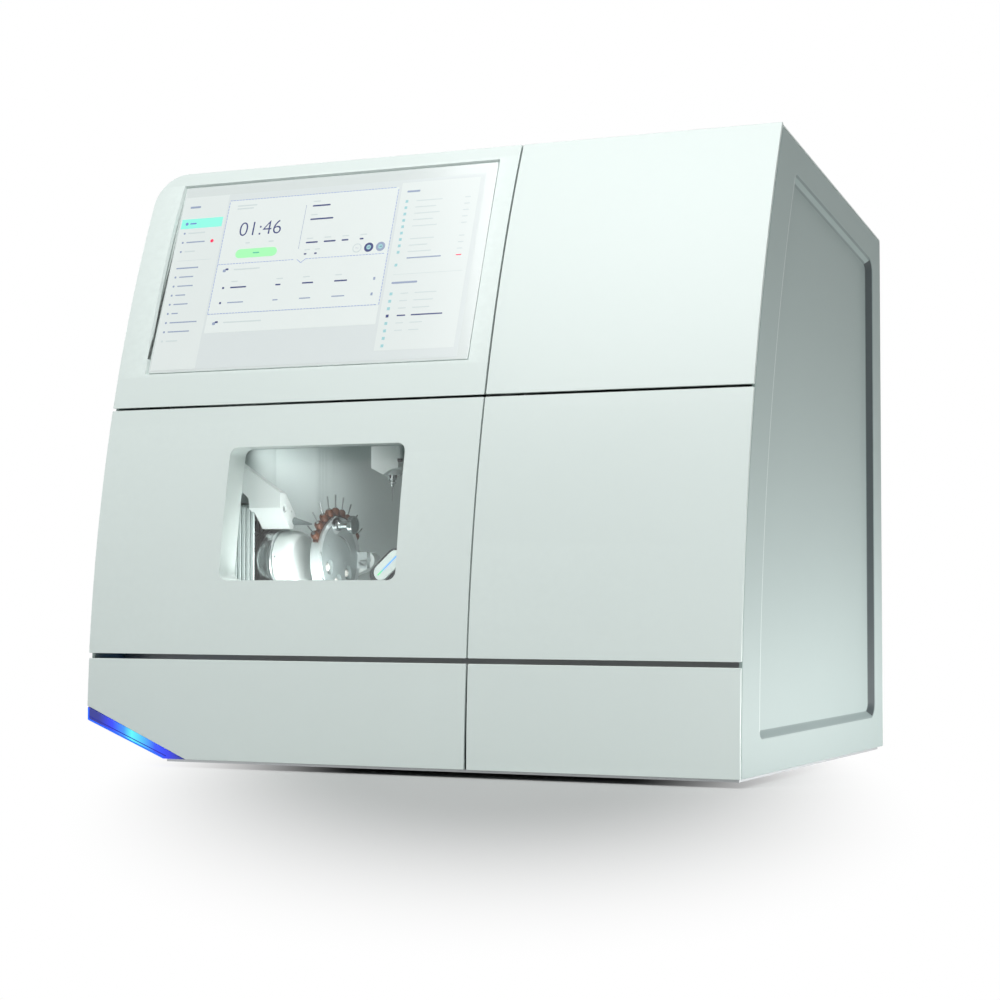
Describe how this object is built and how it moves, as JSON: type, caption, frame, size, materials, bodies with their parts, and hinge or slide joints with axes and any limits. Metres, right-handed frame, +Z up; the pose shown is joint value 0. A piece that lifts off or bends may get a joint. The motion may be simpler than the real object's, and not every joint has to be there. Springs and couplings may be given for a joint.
{
  "type": "dental milling machine",
  "caption": "Desktop dental milling machine with a curved front, tilted touch screen, window door over a milling chamber, blank bay and coolant drawer.",
  "frame": {"origin": "on the floor, under the middle of the machine's bounding box", "axes": "+X to the right seen from the front, +Y to the rear, +Z up"},
  "size_m": [0.8, 0.552, 0.714],
  "materials": {
    "cover_paint": "satin",
    "side_paint": "satin",
    "chamber_white": "satin",
    "black_plastic": "matte",
    "tank_plastic": "matte",
    "rubber": "matte",
    "clear_glass": "clear",
    "screen_glass": "gloss",
    "sheet_steel": "satin",
    "chrome": "polished",
    "aluminium": "satin",
    "copper": "satin",
    "blue_light": "gloss",
    "circuit_board": "matte",
    "blank_ceramic": "matte"
  },
  "bodies": {
    "housing": {"foot_front_left": "rubber", "foot_front_right": "rubber", "foot_rear_left": "rubber", "foot_rear_right": "rubber", "base_frame": "sheet_steel", "left_side_panel": "side_paint", "right_side_panel": "side_paint", "top_cover": "cover_paint", "rear_panel": "side_paint", "screen_panel": "cover_paint", "upper_right_panel": "cover_paint", "lower_right_panel": "cover_paint", "light_bar": "blue_light", "light_board": "circuit_board", "touch_glass": "screen_glass", "display_module": "black_plastic", "front_bulkhead": "sheet_steel", "rear_bulkhead": "sheet_steel", "hinge_beam": "sheet_steel", "window_hinge_rod": "chrome", "loader_hinge_rod": "chrome", "milling_chamber": "chamber_white", "way_cover": "aluminium", "nozzle_block": "chamber_white", "chamber_lamp": "chamber_white", "gantry_frame": "aluminium", "slide_guide": "aluminium", "loader_bay": "chamber_white", "blank_rack": "black_plastic", "stored_blank_1": "blank_ceramic", "stored_blank_2": "blank_ceramic", "stored_blank_3": "blank_ceramic", "control_box": "aluminium", "coolant_pump": "black_plastic", "fan_frame": "black_plastic", "mains_inlet": "black_plastic"},
    "window_door_unit": {"window_door": "cover_paint", "window_glass": "clear_glass", "door_liner": "chamber_white", "door_gasket": "rubber", "window_arm_left": "sheet_steel", "window_arm_right": "sheet_steel"},
    "loader_door_unit": {"loader_door": "cover_paint", "loader_arm_left": "sheet_steel", "loader_arm_right": "sheet_steel"},
    "drawer": {"drawer_front": "cover_paint", "coolant_tank": "tank_plastic"},
    "blank_slide": {"rotary_carriage": "aluminium"},
    "rotary_axis": {"rotary_hub": "chrome", "swivel_arm": "chamber_white"},
    "blank_holder": {"blank_clamp": "aluminium", "milling_blank": "blank_ceramic", "tool_collars": "copper"},
    "thumb_screw": {"clamp_screw": "chrome"},
    "cross_slide": {"spindle_carriage": "aluminium"},
    "spindle_head": {"spindle_housing": "chamber_white"},
    "spindle_rotor": {"spindle_shaft": "chrome", "milling_bur": "chrome"},
    "fan": {"fan_rotor": "black_plastic"},
    "rocker": {"power_switch": "black_plastic"}
  },
  "joints": [
    {"name": "window_door_hinge", "type": "hinge", "parent": "housing", "child": "window_door_unit", "pos_m": [-0.14, -0.2083, 0.439], "axis": [-1, 0, 0], "range_deg": [0, 85]},
    {"name": "loader_door_hinge", "type": "hinge", "parent": "housing", "child": "loader_door_unit", "pos_m": [0.24, -0.2083, 0.439], "axis": [-1, 0, 0], "range_deg": [0, 85]},
    {"name": "drawer_slide", "type": "slide", "parent": "housing", "child": "drawer", "axis": [0, -1, 0], "range_m": [0, 0.36]},
    {"name": "blank_slide_x", "type": "slide", "parent": "housing", "child": "blank_slide", "axis": [1, 0, 0], "range_m": [-0.01, 0.03]},
    {"name": "blank_rotation_a", "type": "hinge", "parent": "blank_slide", "child": "rotary_axis", "pos_m": [-0.29, -0.046, 0.239], "axis": [-1, 0, 0], "range_deg": [-20, 90]},
    {"name": "blank_swivel_b", "type": "hinge", "parent": "rotary_axis", "child": "blank_holder", "pos_m": [-0.182, -0.046, 0.239], "axis": [0, 1, 0], "range_deg": [0, 90]},
    {"name": "clamp_screw_turn", "type": "hinge", "parent": "blank_holder", "child": "thumb_screw", "pos_m": [-0.18, -0.054, 0.281], "axis": [1, 0, 0], "range_deg": [0, 720]},
    {"name": "spindle_slide_y", "type": "slide", "parent": "housing", "child": "cross_slide", "axis": [0, 1, 0], "range_m": [-0.035, 0.055]},
    {"name": "spindle_slide_z", "type": "slide", "parent": "cross_slide", "child": "spindle_head", "axis": [0, 0, 1], "range_m": [-0.055, 0.02]},
    {"name": "spindle_turn", "type": "hinge", "parent": "spindle_head", "child": "spindle_rotor", "pos_m": [-0.1175, -0.046, 0.36], "axis": [0, 0, 1], "continuous": true},
    {"name": "fan_turn", "type": "hinge", "parent": "housing", "child": "fan", "pos_m": [0.24, 0.248, 0.33], "axis": [0, 1, 0], "continuous": true},
    {"name": "power_rock", "type": "hinge", "parent": "housing", "child": "rocker", "pos_m": [-0.286, 0.258, 0.096], "axis": [1, 0, 0], "range_deg": [0, 14]}
  ]
}
